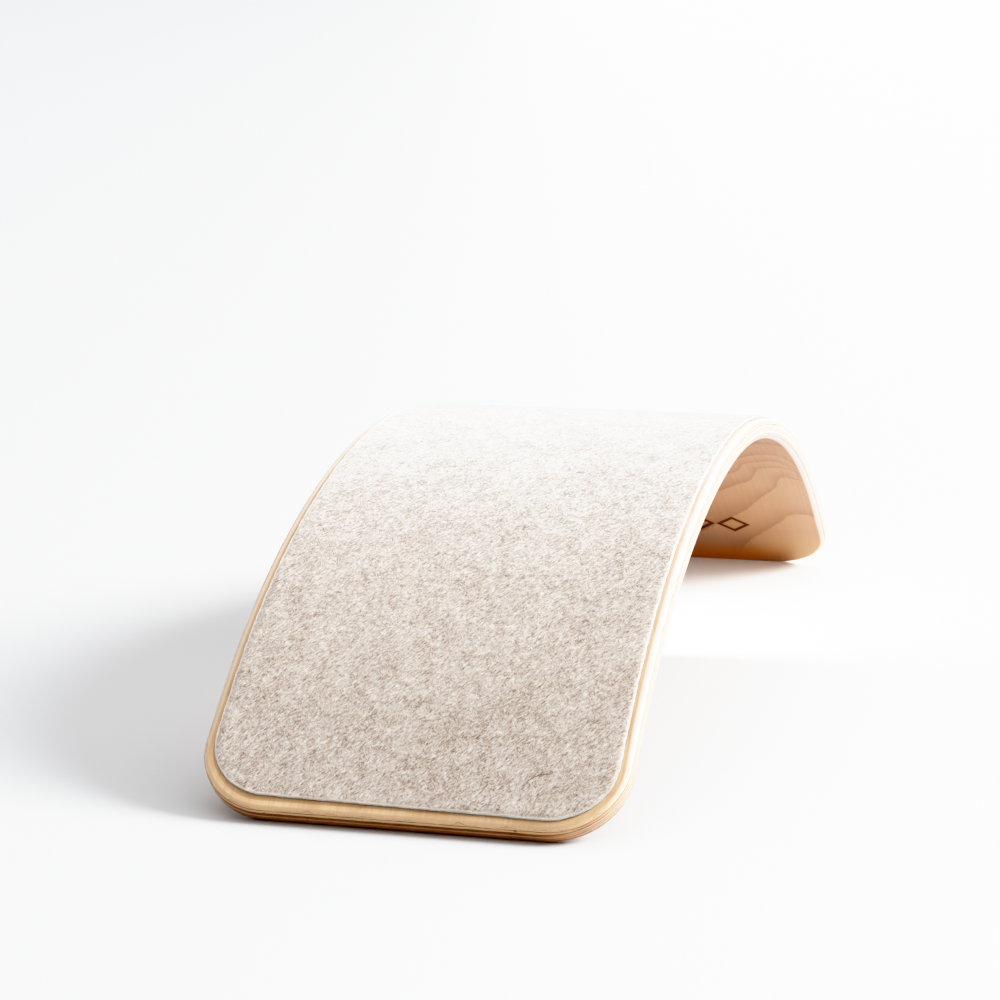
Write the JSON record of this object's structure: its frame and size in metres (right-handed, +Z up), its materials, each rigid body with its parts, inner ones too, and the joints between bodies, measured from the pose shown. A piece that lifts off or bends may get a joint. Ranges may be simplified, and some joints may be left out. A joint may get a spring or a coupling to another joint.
{
  "type": "balance board",
  "caption": "Curved laminated plywood balance board with rounded corners and a wool felt sheet glued on its convex face, standing as a bridge.",
  "frame": {"origin": "centre of the footprint, on the surface the board stands on", "axes": "+X along the board from one end to the other, +Y across it, +Z up from the floor through the crown"},
  "size_m": [0.9068, 0.3, 0.2062],
  "materials": {
    "face_wood": "clear matt lacquer on a pale face veneer, grain along the board",
    "long_wood": "sanded and lacquered edge of a veneer laid along the board",
    "cross_wood": "sanded and lacquered edge of a veneer laid across the board",
    "adhesive": "dried contact adhesive",
    "felt": "undyed melange wool felt, matt"
  },
  "bodies": {
    "root": {"veneer_concave_face": "face_wood", "veneer_cross_lower": "cross_wood", "veneer_long_lower": "long_wood", "veneer_cross_core": "cross_wood", "veneer_long_upper": "long_wood", "veneer_cross_upper": "cross_wood", "veneer_convex_face": "face_wood", "felt_adhesive_film": "adhesive", "felt_sheet": "felt"}
  },
  "joints": []
}
